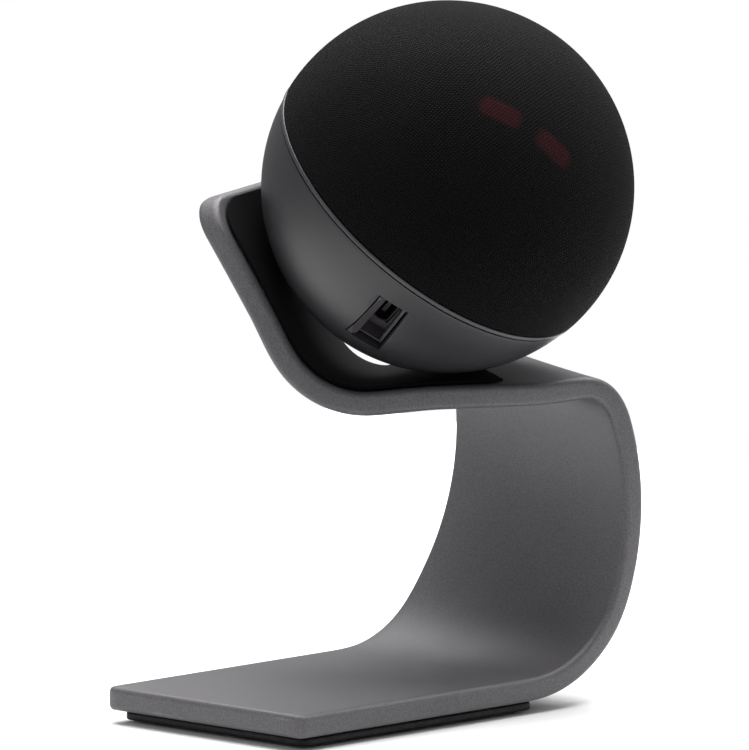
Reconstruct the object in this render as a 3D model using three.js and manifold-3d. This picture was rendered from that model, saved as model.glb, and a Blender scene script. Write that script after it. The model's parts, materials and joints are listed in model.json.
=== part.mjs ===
// Desktop ball microphone lying in the crook of a bent strap stand.
// Millimetres, +Z up. The strap's foot runs along +X and the ball looks towards -Y.
import * as THREE from "three";
import { mergeVertices } from "three/addons/utils/BufferGeometryUtils.js";
import Module from "manifold-3d";

const wasm = await Module();
wasm.setup();

// ---- Driving sizes ----

const gap = 0.3; // left between pieces that touch

// Stand
const strapWidth = 48.5;
const strapThickness = 4.2;
const strapEdgeRadius = 1.0;
const strapStrips = 6; // strips that its wide faces are divided into
const footCornerRadius = 2.0;
const restCornerRadius = 7.0;
const footLength = 59.6;
const padThickness = 1.8;
const padInset = 1.8;
const padStart = 2.5;
const padOverrun = 1.5; // the pad reaches this far under the start of the heel
const linerThickness = 0.5;
const linerInset = 0.9;

// The strap from its free end to the top of its back rest. Angles are in degrees:
// bend folds it through its thickness, twist turns it about its own line, turn steers it sideways.
const bendEasing = 4.4; // how far each bend eases into its neighbours
const strapRun = {
  foot: { length: footLength - bendEasing, bend: 0, twist: 0, turn: 0, steps: 2 },
  instep: { length: bendEasing, bend: 0, twist: 0, turn: 0, steps: 2 },
  heel: { length: 25, bend: 57.2, twist: 0, turn: 0, steps: 8 },
  back: { length: 38.6, bend: 48.6, twist: -11.5, turn: 0, steps: 9 },
  shoulder: { length: 10.2, bend: 85.7, twist: -10.8, turn: 0, steps: 7 },
  shelf: { length: 18.4, bend: 4.7, twist: 17.3, turn: 27.3, steps: 8 },
  crook: { length: 24.5, bend: -94.5, twist: -6.2, turn: 8.5, steps: 12 },
  rest: { length: 26.2, bend: 3.7, twist: -19.8, turn: 0, steps: 8 },
};

// Ball
const ballRadius = 33;
const seamDrop = 4.3; // the seam lies this far behind the ball's middle
const ballHeading = 16; // degrees from -Y towards +X
const ballAhead = 0.215; // where it starts to settle, from the crook's middle, in ball radii
const ballSideways = -0.795;
const ballAbove = 1.065;
const ballLean = 42; // degrees that the front pole leans down from straight up
const ballRoll = -61; // degrees about the ball's own axis
const shellWall = 2.2;
const trimHeight = 0.8;
const trimWidth = 3.2;
const fabricThickness = 0.8;
const fabricSwell = 0.15; // the knit stands this much proud of the shell
const domeThickness = 0.8;

// Port niche, on the shell's underside between the seam and the rear pole
const nicheMiddle = 121; // degrees from the front pole
const nicheLength = 15.5;
const nicheFrontWidth = 6.0;
const nicheRearWidth = 7.0;
const nicheLean = 6; // degrees that it lies askew to the line through the poles
const nicheDepth = 5.0;
const nicheWall = 0.5;
const nicheSlotWidth = 3.6;
const nicheRampDepth = 1.8; // how deep the ramp has come down where the slot starts
const portWidth = 3.2;
const portLength = 8.9;
const portDepth = 6.4;
const portWall = 0.3;
const portTongueThickness = 0.7;

// Chassis and what it carries
const chassisRadius = 29;
const chassisThickness = 2;
const chassisTop = -7.5;
const blindBoreSkin = 0.6; // left over the screw bores that do not go through
const shellPostRadius = 3;
const shellPostCircle = 22;
const screwRadius = 1.1;
const screwHeadRadius = 2;
const screwHeadHeight = 1.2;
const screwLength = 6;
const boardThickness = 1.4;
const mainBoardRadius = 17;
const mainBoardGap = 3.2;
const mainPostCircle = 11;
const mainPostRadius = 2;
const frontBoardWidth = 5.5;
const frontBoardClearance = 2; // around the capsule
const frontBoardHeight = 12;
const frontPostRadius = 2;
const frontPostAngle = 110; // degrees, so that the posts stand beside the chassis screws
const lightPolarAngle = 33; // degrees from the front pole
const lightSpread = 10.5; // degrees to each side of the middle
const lightLength = 8;
const lightWidth = 3;
const lightThickness = 1.4;
const lightStalkRadius = 1.2;
const chipSize = 7;
const chipHeight = 1;

// Capsule
const capsuleRadius = 12.5;
const capsuleWall = 1.2;
const capsuleHeight = 8;
const mountHeight = 3;
const clampWidth = 2.2;
const clampThickness = 1.5;
const mountRadius = 10;
const mountBore = 5;
const hubRadius = 8;
const hubBore = 5.5;
const hubHeight = 9;
const membraneThickness = 0.2;
const backplateThickness = 2;

// ---- Materials, one for each kind of piece ----

const paint = (color, roughness, metalness = 0) =>
  new THREE.MeshStandardMaterial({ color, roughness, metalness });
const materials = {
  strapMetal: () => paint(0x5a5d62, 0.45, 0.6),
  rubber: () => paint(0x161417, 0.7),
  liner: () => paint(0x121012, 0.9),
  shell: () => paint(0x40434a, 0.5),
  trim: () => paint(0x4a4d54, 0.4),
  knit: () => paint(0x151116, 0.95),
  steel: () => paint(0x8d8f92, 0.35, 0.9),
  dome: () => paint(0x2a2a2d, 0.5, 0.7),
  chassis: () => paint(0x222326, 0.6),
  board: () => paint(0x14502f, 0.5),
  chip: () => paint(0x17181a, 0.4),
  light: () => paint(0x8a1418, 0.3),
  brass: () => paint(0xb08d4c, 0.35, 0.9),
  membrane: () => paint(0xd8b25a, 0.25, 0.8),
};

// ---- Helpers ----

const radians = THREE.MathUtils.degToRad;

function solid(geometry) {
  const plain = geometry.clone();
  plain.deleteAttribute("normal");
  plain.deleteAttribute("uv");
  const merged = mergeVertices(plain, 1e-4);
  return new wasm.Manifold(
    new wasm.Mesh({
      numProp: 3,
      vertProperties: new Float32Array(merged.getAttribute("position").array),
      triVerts: new Uint32Array(merged.index.array),
    }),
  );
}

function geometryOf(manifold) {
  const mesh = manifold.getMesh();
  const geometry = new THREE.BufferGeometry();
  geometry.setAttribute("position", new THREE.BufferAttribute(new Float32Array(mesh.vertProperties), 3));
  geometry.setIndex(new THREE.BufferAttribute(new Uint32Array(mesh.triVerts), 1));
  geometry.computeVertexNormals();
  return geometry;
}

// Starts from the first geometry, adds the next ones and cuts the last ones away.
function joined(base, additions, cuts) {
  let result = solid(base);
  for (const addition of additions) result = result.add(solid(addition));
  for (const cut of cuts) result = result.subtract(solid(cut));
  return geometryOf(result);
}

function piece(name, geometry, material) {
  const mesh = new THREE.Mesh(geometry, material);
  mesh.name = name;
  return mesh;
}

// Turns a profile of (radius, height) points about +Z.
function lathe(profile, segments) {
  const geometry = new THREE.LatheGeometry(profile.map(([r, z]) => new THREE.Vector2(r, z)), segments);
  return geometry.rotateX(Math.PI / 2);
}

// Points on a circle about the ball's middle; angles in degrees from the front pole.
function arc(radius, from, to, steps) {
  return Array.from({ length: steps + 1 }, (_, i) => {
    const angle = radians(from + ((to - from) * i) / steps);
    const r = Math.abs(Math.sin(angle)) < 1e-9 ? 0 : radius * Math.sin(angle);
    return [r, radius * Math.cos(angle)];
  });
}

// The polar angle at which a sphere of this radius reaches this height.
const polarAt = (radius, height) => THREE.MathUtils.radToDeg(Math.acos(height / radius));

// A ring of rectangular section; inner may be 0 for a disc.
function ring(inner, outer, bottom, top, segments = 32) {
  const profile = [
    [inner, bottom],
    [outer, bottom],
    [outer, top],
    [inner, top],
  ];
  if (inner > 0) profile.push([inner, bottom]);
  return lathe(profile, segments);
}

function cylinder(radius, bottom, top, x, y, segments = 16) {
  return new THREE.CylinderGeometry(radius, radius, top - bottom, segments)
    .rotateX(Math.PI / 2)
    .translate(x, y, (top + bottom) / 2);
}

// Where each of count points lies on a circle, the first at this angle in degrees.
function around(circle, count, first) {
  return Array.from({ length: count }, (_, i) => {
    const angle = radians(first + (360 / count) * i);
    return [circle * Math.cos(angle), circle * Math.sin(angle)];
  });
}

// A rectangle with round corners, counter-clockwise. Its long sides are cut into strips, so that the
// section can be swept along a twisting line and keep its thickness.
function roundedRectangle(width, height, radius, middle = 0, strips = 1) {
  const shape = new THREE.Shape();
  const flat = width - 2 * radius;
  const right = width / 2 - radius;
  const top = middle + height / 2;
  const bottom = middle - height / 2;
  shape.moveTo(-right, bottom);
  for (let i = 1; i <= strips; i += 1) shape.lineTo(-right + (flat * i) / strips, bottom);
  shape.absarc(right, bottom + radius, radius, -Math.PI / 2, 0, false);
  shape.lineTo(width / 2, top - radius);
  shape.absarc(right, top - radius, radius, 0, Math.PI / 2, false);
  for (let i = 1; i <= strips; i += 1) shape.lineTo(right - (flat * i) / strips, top);
  shape.absarc(-right, top - radius, radius, Math.PI / 2, Math.PI, false);
  shape.lineTo(-width / 2, bottom + radius);
  shape.absarc(-right, bottom + radius, radius, Math.PI, Math.PI * 1.5, false);
  return shape;
}

// ---- The strap's line ----

// How much the strap bends, twists and turns for each millimetre at one distance along it. Every stretch
// eases into the next, so the rates are averaged over a short length to both sides.
function ratesAt(distance, run) {
  const rates = { bend: 0, twist: 0, turn: 0 };
  let start = 0;
  for (const stretch of Object.values(run)) {
    const end = start + stretch.length;
    const from = Math.max(start, distance - bendEasing);
    const to = Math.min(end, distance + bendEasing);
    const share = Math.max(0, to - from) / (2 * bendEasing) / stretch.length;
    rates.bend += stretch.bend * share;
    rates.twist += stretch.twist * share;
    rates.turn += stretch.turn * share;
    start = end;
  }
  return rates;
}

// Walks the strap from its free end. Each station holds the middle of the section, the direction across
// the strap, the inner side's normal, the distance walked and the stretch it belongs to.
function walkStrap(run) {
  const point = new THREE.Vector3(0, 0, strapThickness / 2);
  const along = new THREE.Vector3(1, 0, 0);
  const normal = new THREE.Vector3(0, 0, 1);
  const across = () => new THREE.Vector3().crossVectors(normal, along);
  const first = { point: point.clone(), across: across(), normal: normal.clone() };
  const stations = [{ ...first, distance: 0, part: "foot" }];
  let distance = 0;
  for (const [part, stretch] of Object.entries(run)) {
    const step = stretch.length / stretch.steps;
    for (let i = 0; i < stretch.steps; i += 1) {
      const rates = ratesAt(distance + step / 2, run);
      const spin = across()
        .multiplyScalar(radians(-rates.bend) * step)
        .addScaledVector(along, radians(rates.twist) * step)
        .addScaledVector(normal, radians(rates.turn) * step);
      const angle = spin.length();
      const axis = angle > 0 ? spin.normalize() : along.clone();
      point.addScaledVector(along.clone().applyAxisAngle(axis, angle / 2), step);
      along.applyAxisAngle(axis, angle);
      normal.applyAxisAngle(axis, angle);
      distance += step;
      stations.push({ point: point.clone(), across: across(), normal: normal.clone(), distance, part });
    }
  }
  return stations;
}

// How far in the strap's side draws at a round end corner, as a share of its half width.
function endNarrowing(fromEnd, radius) {
  const inside = Math.max(0, radius - fromEnd);
  const drawn = radius - Math.sqrt(Math.max(0, radius * radius - inside * inside));
  return 1 - drawn / (strapWidth / 2);
}

// Sweeps a section along stations: x of the section runs across the strap, y through its thickness.
function sweepAlong(shape, stations, share, cornerSegments) {
  const steps = stations.length - 1;
  const geometry = new THREE.ExtrudeGeometry(shape, {
    depth: steps,
    steps,
    bevelEnabled: false,
    curveSegments: cornerSegments,
  });
  const position = geometry.getAttribute("position");
  for (let i = 0; i < position.count; i += 1) {
    const station = stations[Math.round(position.getZ(i))];
    const placed = station.point
      .clone()
      .addScaledVector(station.across, position.getX(i) * share(station))
      .addScaledVector(station.normal, position.getY(i));
    position.setXYZ(i, placed.x, placed.y, placed.z);
  }
  return geometry;
}

// ---- Stand ----

const walked = walkStrap(strapRun);
const strapLength = walked[walked.length - 1].distance;

const strapShare = (station) =>
  endNarrowing(station.distance, footCornerRadius) *
  endNarrowing(strapLength - station.distance, restCornerRadius);

// A station between two walked ones, for a place that the walk doesn't stop at.
function stationAt(distance) {
  const next = Math.max(1, walked.findIndex((station) => station.distance >= distance - 1e-6));
  const before = walked[next - 1];
  const after = walked[next];
  const share = (distance - before.distance) / (after.distance - before.distance);
  return {
    point: before.point.clone().lerp(after.point, share),
    across: before.across.clone().lerp(after.across, share).normalize(),
    normal: before.normal.clone().lerp(after.normal, share).normalize(),
    distance,
    part: after.part,
  };
}

// All walked stations between two distances, with the ends put in and round corners filled in.
function stationsBetween(from, to, extra = []) {
  const kept = walked.filter((station) => station.distance > from + 0.05 && station.distance < to - 0.05);
  const added = extra.map(stationAt);
  const all = [stationAt(from), ...kept, ...added, stationAt(to)];
  return all.sort((a, b) => a.distance - b.distance);
}

const cornerSteps = [0.04, 0.15, 0.35, 0.65];

function strapGeometry() {
  const extra = [
    ...cornerSteps.map((share) => share * footCornerRadius),
    ...cornerSteps.map((share) => strapLength - share * restCornerRadius),
  ];
  const section = roundedRectangle(strapWidth, strapThickness, strapEdgeRadius, 0, strapStrips);
  return sweepAlong(section, stationsBetween(0, strapLength, extra), strapShare, 3);
}

function footPadGeometry() {
  const width = strapWidth - 2 * padInset;
  const length = footLength + padOverrun - padStart;
  return new THREE.ExtrudeGeometry(roundedRectangle(length, width, footCornerRadius), {
    depth: padThickness,
    bevelEnabled: false,
    curveSegments: 4,
  }).translate(padStart + length / 2, 0, -gap - padThickness);
}

// The liner lies on the outer side of the strap from the middle of the shelf to near the rest's top.
function linerGeometry() {
  const shelfStart = strapLength - strapRun.rest.length - strapRun.crook.length - strapRun.shelf.length;
  const from = shelfStart + strapRun.shelf.length * 0.35;
  const to = strapLength - linerInset;
  const width = strapWidth - 2 * linerInset - 2 * strapEdgeRadius;
  const middle = -(strapThickness / 2 + gap + linerThickness / 2);
  const section = roundedRectangle(width, linerThickness, linerThickness / 4, middle, strapStrips);
  const corners = cornerSteps.map((share) => to - share * restCornerRadius);
  const share = (station) => endNarrowing(to - station.distance, restCornerRadius);
  return sweepAlong(section, stationsBetween(from, to, corners), share, 1);
}

const strap = piece("stand_strap", strapGeometry(), materials.strapMetal());
const footPad = piece("foot_pad", footPadGeometry(), materials.rubber());
const liner = piece("cradle_liner", linerGeometry(), materials.liner());

// ---- Where the ball settles ----

// Points on the strap's outer side along one stretch.
function outerPoints(part) {
  const shares = [-0.5, -0.375, -0.25, -0.125, 0, 0.125, 0.25, 0.375, 0.5];
  return walked
    .filter((station) => station.part === part)
    .flatMap((station) =>
      shares.map((share) =>
        station.point
          .clone()
          .addScaledVector(station.across, share * strapWidth)
          .addScaledVector(station.normal, -strapThickness / 2),
      ),
    );
}

// The ball starts above the crook and is pushed off shelf and rest in turn until it just clears both.
function settledCentre() {
  const clear = ballRadius + linerThickness + 2 * gap;
  const crook = walked.filter((station) => station.part === "crook");
  const centre = crook[Math.floor(crook.length / 2)].point.clone();
  centre.addScaledVector(new THREE.Vector3(ballAhead, ballSideways, ballAbove), ballRadius);
  const patches = [[...outerPoints("shelf"), ...outerPoints("shoulder")], outerPoints("rest")];
  for (let pass = 0; pass < 200; pass += 1) {
    for (const patch of patches) {
      const nearest = patch.reduce((a, b) => (a.distanceTo(centre) < b.distanceTo(centre) ? a : b));
      const away = centre.clone().sub(nearest);
      centre.addScaledVector(away.normalize(), clear - centre.distanceTo(nearest));
    }
  }
  return centre;
}

// ---- Ball: skins ----

const shellInner = ballRadius - shellWall;
const trimTop = -seamDrop;
const trimBottom = trimTop - trimHeight;
const shellTop = trimBottom - gap;
const chassisBottom = chassisTop - chassisThickness;
const shellPosts = around(shellPostCircle, 3, 90);

// Carries a shape from above the origin to the niche: its y points to the front pole, its z outwards.
function onNiche(geometry) {
  return geometry.rotateZ(radians(nicheLean)).rotateX(radians(nicheMiddle));
}

// The niche's outline seen from outside, in x across and y towards the rear pole.
function nicheOutline(shrink) {
  const front = nicheFrontWidth / 2 - shrink;
  const rear = nicheRearWidth / 2 - shrink;
  const half = nicheLength / 2 - shrink;
  return new THREE.Shape([
    new THREE.Vector2(-front, half),
    new THREE.Vector2(-rear, -half),
    new THREE.Vector2(rear, -half),
    new THREE.Vector2(front, half),
  ]);
}

function nichePrism(shrink, from, to) {
  const prism = new THREE.ExtrudeGeometry(nicheOutline(shrink), { depth: to - from, bevelEnabled: false });
  return onNiche(prism.translate(0, 0, from));
}

const nicheBottom = ballRadius - nicheDepth - nicheWall;
const outside = ballRadius + 3;

function rearShellGeometry() {
  const bowl = lathe(
    [
      ...arc(ballRadius, 180, polarAt(ballRadius, shellTop), 11),
      ...arc(shellInner, polarAt(shellInner, shellTop), 180, 9),
    ],
    40,
  );
  const rootDepth = Math.sqrt(shellInner ** 2 - (shellPostCircle + shellPostRadius) ** 2);
  const posts = shellPosts.map(([x, y]) =>
    cylinder(shellPostRadius, -rootDepth - shellPostRadius, chassisBottom - gap, x, y),
  );
  const pilots = shellPosts.map(([x, y]) =>
    cylinder(screwRadius + gap, chassisBottom - screwLength - gap, chassisBottom + gap, x, y),
  );
  return joined(bowl, posts, [nichePrism(0, nicheBottom - gap, outside), ...pilots]);
}

function trimRingGeometry() {
  const outer = arc(ballRadius, polarAt(ballRadius, trimBottom), polarAt(ballRadius, trimTop), 1);
  const inner = ballRadius - trimWidth;
  return lathe([[inner, trimBottom], ...outer, [inner, trimTop], [inner, trimBottom]], 40);
}

const fabricOuter = ballRadius + fabricSwell;
const fabricInner = fabricOuter - fabricThickness;
const fabricEdge = trimTop + gap;

function fabricGeometry() {
  return lathe(
    [
      ...arc(fabricInner, 0, polarAt(fabricInner, fabricEdge), 12),
      ...arc(fabricOuter, polarAt(fabricOuter, fabricEdge), 0, 12),
    ],
    40,
  );
}

const domeOuter = fabricInner - gap;
const domeInner = domeOuter - domeThickness;

function domeGeometry() {
  return lathe(
    [
      ...arc(domeInner, 0, polarAt(domeInner, fabricEdge), 8),
      ...arc(domeOuter, polarAt(domeOuter, fabricEdge), 0, 8),
    ],
    32,
  );
}

// ---- Ball: port niche ----

// The niche is a ramp on one side and a deep slot on the other; the slot's floor holds the receptacle.
const slotRight = nicheFrontWidth / 2 - gap - nicheWall;
const slotMiddle = slotRight - nicheSlotWidth / 2;
const portTop = nicheBottom + nicheWall + gap;
const portBottom = portTop - portDepth;

function portNicheGeometry() {
  const ball = solid(new THREE.SphereGeometry(ballRadius, 48, 32));
  const block = solid(nichePrism(gap, nicheBottom, outside)).intersect(ball);
  const well = solid(nichePrism(gap + nicheWall, nicheBottom - 1, outside + 1));
  const mouth = solid(nichePrism(-1, ballRadius - shellWall - gap, outside + 1));
  const ramp = new THREE.Shape([
    new THREE.Vector2(slotRight + 2, nicheBottom + nicheWall),
    new THREE.Vector2(slotRight + 2, outside),
    new THREE.Vector2(-nicheRearWidth, outside),
    new THREE.Vector2(-nicheRearWidth / 2, ballRadius),
    new THREE.Vector2(slotMiddle - nicheSlotWidth / 2, ballRadius - nicheRampDepth),
    new THREE.Vector2(slotMiddle - nicheSlotWidth / 2, nicheBottom + nicheWall),
  ]);
  const channel = new THREE.ExtrudeGeometry(ramp, { depth: nicheLength * 2, bevelEnabled: false })
    .rotateX(Math.PI / 2)
    .translate(0, nicheLength, 0);
  const port = new THREE.BoxGeometry(portWidth + 2 * gap, portLength + 2 * gap, 2 * nicheWall);
  port.translate(slotMiddle, 0, nicheBottom + nicheWall / 2);
  const cut = solid(onNiche(channel)).intersect(well.add(mouth)).add(solid(onNiche(port)));
  return geometryOf(block.subtract(cut));
}

function receptacleGeometry() {
  const box = (width, length, bottom, top) =>
    new THREE.ExtrudeGeometry(roundedRectangle(width, length, width / 2 - 0.05), {
      depth: top - bottom,
      bevelEnabled: false,
      curveSegments: 4,
    }).translate(slotMiddle, 0, bottom);
  const bore = box(portWidth - 2 * portWall, portLength - 2 * portWall, portBottom + portWall, portTop + 1);
  return onNiche(joined(box(portWidth, portLength, portBottom, portTop), [], [bore]));
}

function tongueGeometry() {
  const length = portLength - 2 * portWall - 2 * gap - portTongueThickness;
  const bottom = portBottom + portWall + gap;
  const height = portDepth - portWall - 2 * gap - 1;
  const tongue = new THREE.BoxGeometry(portTongueThickness, length, height);
  return onNiche(tongue.translate(slotMiddle, 0, bottom + height / 2));
}

// ---- Ball: chassis, boards and lights ----

const frontBoardBottom = chassisTop + frontBoardHeight + gap;
const frontBoardTop = frontBoardBottom + boardThickness;
const frontBoardInner = capsuleRadius + frontBoardClearance;
const frontBoardOuter = frontBoardInner + frontBoardWidth;
const frontPostCircle = (frontBoardInner + frontBoardOuter) / 2;
const frontPosts = around(frontPostCircle, 3, frontPostAngle);
const mainPosts = around(mainPostCircle, 3, 90);
const mainBoardTop = chassisBottom - mainBoardGap;
const mainBoardBottom = mainBoardTop - boardThickness;

// Room for the niche and its receptacle in the plates that they pass.
function nicheRoom() {
  const depth = outside - portBottom + 1;
  const room = new THREE.BoxGeometry(nicheRearWidth + 2, nicheLength + 8, depth);
  return onNiche(room.translate(0, 0, portBottom - 1 + depth / 2));
}

function chassisGeometry() {
  const plate = ring(0, chassisRadius, chassisBottom, chassisTop, 40);
  const hub = ring(hubBore, hubRadius, chassisTop - 1, chassisTop + hubHeight, 24);
  const front = frontPosts.map(([x, y]) =>
    cylinder(frontPostRadius, chassisTop - 1, chassisTop + frontBoardHeight, x, y, 12),
  );
  const rear = mainPosts.map(([x, y]) =>
    cylinder(mainPostRadius, mainBoardTop + gap, chassisBottom + 1, x, y, 12),
  );
  const bore = screwRadius + gap;
  const frontBoreBottom = frontBoardBottom - screwLength;
  const holes = [
    ...shellPosts.map(([x, y]) => cylinder(bore, chassisBottom - 1, chassisTop + 1, x, y)),
    ...frontPosts.map(([x, y]) => cylinder(bore, frontBoreBottom, frontBoardBottom + 1, x, y, 10)),
    ...mainPosts.map(([x, y]) => cylinder(bore, mainBoardTop - 1, chassisTop - blindBoreSkin, x, y, 10)),
  ];
  return joined(plate, [hub, ...front, ...rear], [...holes, nicheRoom()]);
}

function boardGeometry(inner, outer, posts, bottom) {
  const disc = ring(inner, outer, bottom, bottom + boardThickness);
  const holes = posts.map(([x, y]) =>
    cylinder(screwRadius + gap, bottom - 1, bottom + boardThickness + 1, x, y, 12),
  );
  return joined(disc, [], [...holes, nicheRoom()]);
}

// A pan-head screw whose head's underside is at this height; it points down, or up when turned over.
function screwGeometry([x, y], seat, length, up = false) {
  const profile = [
    [0, -length],
    [screwRadius, -length],
    [screwRadius, 0],
    [screwHeadRadius, 0],
    [screwHeadRadius, screwHeadHeight * 0.6],
    [screwHeadRadius * 0.6, screwHeadHeight],
    [0, screwHeadHeight],
  ];
  const screw = lathe(profile, 12);
  if (up) screw.rotateX(Math.PI);
  return screw.translate(x, y, seat);
}

// The bar lies just under the dome, across the niche's meridian; its stalk stands over the front board.
function lightGeometry(side) {
  const spread = radians(side * lightSpread);
  const polar = radians(lightPolarAngle);
  const middle = domeInner - gap - lightThickness / 2 - (lightLength / 2) ** 2 / (2 * domeInner);
  const direction = new THREE.Vector3(
    Math.sin(spread),
    -Math.cos(spread) * Math.sin(polar),
    Math.cos(spread) * Math.cos(polar),
  );
  const place = direction.clone().multiplyScalar(middle);
  const bar = new THREE.ExtrudeGeometry(roundedRectangle(lightLength, lightWidth, lightWidth / 2 - 0.1), {
    depth: lightThickness,
    bevelEnabled: false,
    curveSegments: 3,
  }).translate(0, 0, -lightThickness / 2);
  bar.applyQuaternion(new THREE.Quaternion().setFromUnitVectors(new THREE.Vector3(0, 0, 1), direction));
  bar.translate(place.x, place.y, place.z);
  const stalk = cylinder(lightStalkRadius, frontBoardTop + gap, place.z, place.x, place.y, 10);
  return joined(bar, [stalk], []);
}

function chipGeometry(x, y) {
  const chip = new THREE.BoxGeometry(chipSize, chipSize, chipHeight);
  return chip.translate(x, y, mainBoardBottom - gap - chipHeight / 2);
}

// ---- Ball: capsule ----

const mountBottom = chassisTop + hubHeight + gap;
const capsuleBottom = mountBottom + mountHeight + gap;
const capsuleFloor = capsuleBottom + capsuleWall;
const capsuleTop = capsuleBottom + capsuleHeight;
const capsuleInner = capsuleRadius - capsuleWall;
const capsulePart = capsuleInner - gap;
const backplateBottom = capsuleFloor + gap;
const membraneBottom = backplateBottom + backplateThickness + gap;
const clampBottom = membraneBottom + membraneThickness + gap;
const clampInner = capsulePart - clampWidth;

const capsuleDisc = (inner, bottom, thickness) => ring(inner, capsulePart, bottom, bottom + thickness);

function capsuleBodyGeometry() {
  return lathe(
    [
      [0, capsuleBottom],
      [capsuleRadius, capsuleBottom],
      [capsuleRadius, capsuleTop],
      [capsuleInner, capsuleTop],
      [capsuleInner, capsuleFloor],
      [0, capsuleFloor],
    ],
    32,
  );
}

// ---- Assembly ----

// Everything in the ball is built about its middle with the front pole on +Z, then turned as it lies.
function ballGroup() {
  const inner = new THREE.Group();
  inner.add(
    piece("rear_shell", rearShellGeometry(), materials.shell()),
    piece("trim_ring", trimRingGeometry(), materials.trim()),
    piece("fabric_cover", fabricGeometry(), materials.knit()),
    piece("grille_dome", domeGeometry(), materials.dome()),
    piece("port_niche", portNicheGeometry(), materials.shell()),
    piece("cord_receptacle", receptacleGeometry(), materials.steel()),
    piece("receptacle_tongue", tongueGeometry(), materials.chip()),
    piece("chassis", chassisGeometry(), materials.chassis()),
    piece("main_board", boardGeometry(0, mainBoardRadius, mainPosts, mainBoardBottom), materials.board()),
    piece(
      "front_board",
      boardGeometry(frontBoardInner, frontBoardOuter, frontPosts, frontBoardBottom),
      materials.board(),
    ),
    piece("light_bar_left", lightGeometry(-1), materials.light()),
    piece("light_bar_right", lightGeometry(1), materials.light()),
    piece("codec_chip", chipGeometry(-chipSize * 0.7, 0), materials.chip()),
    piece("power_chip", chipGeometry(chipSize * 0.7, 0), materials.chip()),
    piece(
      "capsule_mount",
      ring(mountBore, mountRadius, mountBottom, mountBottom + mountHeight, 24),
      materials.rubber(),
    ),
    piece("capsule_body", capsuleBodyGeometry(), materials.brass()),
    piece("capsule_backplate", capsuleDisc(0, backplateBottom, backplateThickness), materials.brass()),
    piece("capsule_membrane", capsuleDisc(0, membraneBottom, membraneThickness), materials.membrane()),
    piece("capsule_clamp", capsuleDisc(clampInner, clampBottom, clampThickness), materials.brass()),
  );
  shellPosts.forEach((place, i) => {
    const screw = screwGeometry(place, chassisTop + gap, chassisThickness + screwLength - gap);
    inner.add(piece(`chassis_screw_${i + 1}`, screw, materials.steel()));
  });
  frontPosts.forEach((place, i) => {
    const screw = screwGeometry(place, frontBoardTop + gap, boardThickness + screwLength - 2 * gap - 1);
    inner.add(piece(`front_board_screw_${i + 1}`, screw, materials.steel()));
  });
  mainPosts.forEach((place, i) => {
    const screw = screwGeometry(place, mainBoardBottom - gap, boardThickness + mainBoardGap - gap, true);
    inner.add(piece(`main_board_screw_${i + 1}`, screw, materials.steel()));
  });
  inner.rotation.z = radians(ballRoll);
  const lean = new THREE.Group();
  lean.add(inner);
  lean.rotation.x = radians(ballLean);
  const ball = new THREE.Group();
  ball.add(lean);
  ball.rotation.z = radians(ballHeading);
  ball.position.copy(settledCentre());
  return ball;
}

const object = new THREE.Group();
object.add(strap, footPad, liner, ballGroup());

// The origin is the middle of the underside of the whole object.
object.updateMatrixWorld(true);
const bounds = new THREE.Box3().setFromObject(object, true);
object.position.set(-(bounds.min.x + bounds.max.x) / 2, -(bounds.min.y + bounds.max.y) / 2, -bounds.min.z);
object.updateMatrixWorld(true);

export default object;
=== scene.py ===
import json
import math

import bmesh
import bpy
from mathutils import Matrix, Vector


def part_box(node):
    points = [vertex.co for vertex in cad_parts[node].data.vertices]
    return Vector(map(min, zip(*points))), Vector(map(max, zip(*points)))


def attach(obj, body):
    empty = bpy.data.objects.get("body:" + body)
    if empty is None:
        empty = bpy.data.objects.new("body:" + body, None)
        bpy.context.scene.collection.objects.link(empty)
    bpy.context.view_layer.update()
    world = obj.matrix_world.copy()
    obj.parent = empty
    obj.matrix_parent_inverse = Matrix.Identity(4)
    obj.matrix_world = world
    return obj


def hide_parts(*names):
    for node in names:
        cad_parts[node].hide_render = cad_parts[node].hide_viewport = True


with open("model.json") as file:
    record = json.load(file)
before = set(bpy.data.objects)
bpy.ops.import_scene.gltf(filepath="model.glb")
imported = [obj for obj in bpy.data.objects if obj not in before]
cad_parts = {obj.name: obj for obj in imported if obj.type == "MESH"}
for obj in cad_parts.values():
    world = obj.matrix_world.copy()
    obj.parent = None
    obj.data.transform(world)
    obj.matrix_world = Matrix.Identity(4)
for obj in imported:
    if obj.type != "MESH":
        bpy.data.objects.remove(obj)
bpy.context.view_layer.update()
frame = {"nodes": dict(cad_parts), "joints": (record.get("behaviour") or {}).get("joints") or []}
print("frame loaded:", len(frame["nodes"]), "nodes")

# where things are, from the frame

strapLow, strapHigh = (Vector(c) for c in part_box("stand_strap"))
padLow, padHigh = (Vector(c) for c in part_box("foot_pad"))
ballCentre = Vector(frame["joints"][0]["pos_m"])
strapStart = Vector((strapLow.x, (padLow.y + padHigh.y) / 2, strapLow.z))

# the ball's own axes: its front pole is +Z before these three turns
ballPose = {"heading": 16, "lean": 42, "roll": -61}
ballTurn = (
    Matrix.Rotation(math.radians(ballPose["heading"]), 4, "Z")
    @ Matrix.Rotation(math.radians(ballPose["lean"]), 4, "X")
    @ Matrix.Rotation(math.radians(ballPose["roll"]), 4, "Z")
)
ballPlace = Matrix.Translation(ballCentre) @ ballTurn


# small mesh helpers

def makeObject(name, bm, material, sharpAngle=40):
    bmesh.ops.recalc_face_normals(bm, faces=bm.faces)
    mesh = bpy.data.meshes.new(name)
    bm.to_mesh(mesh)
    bm.free()
    mesh.shade_smooth()
    mesh.set_sharp_from_angle(angle=math.radians(sharpAngle))
    obj = bpy.data.objects.new(name, mesh)
    bpy.context.collection.objects.link(obj)
    obj.data.materials.append(material)
    return obj


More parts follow.
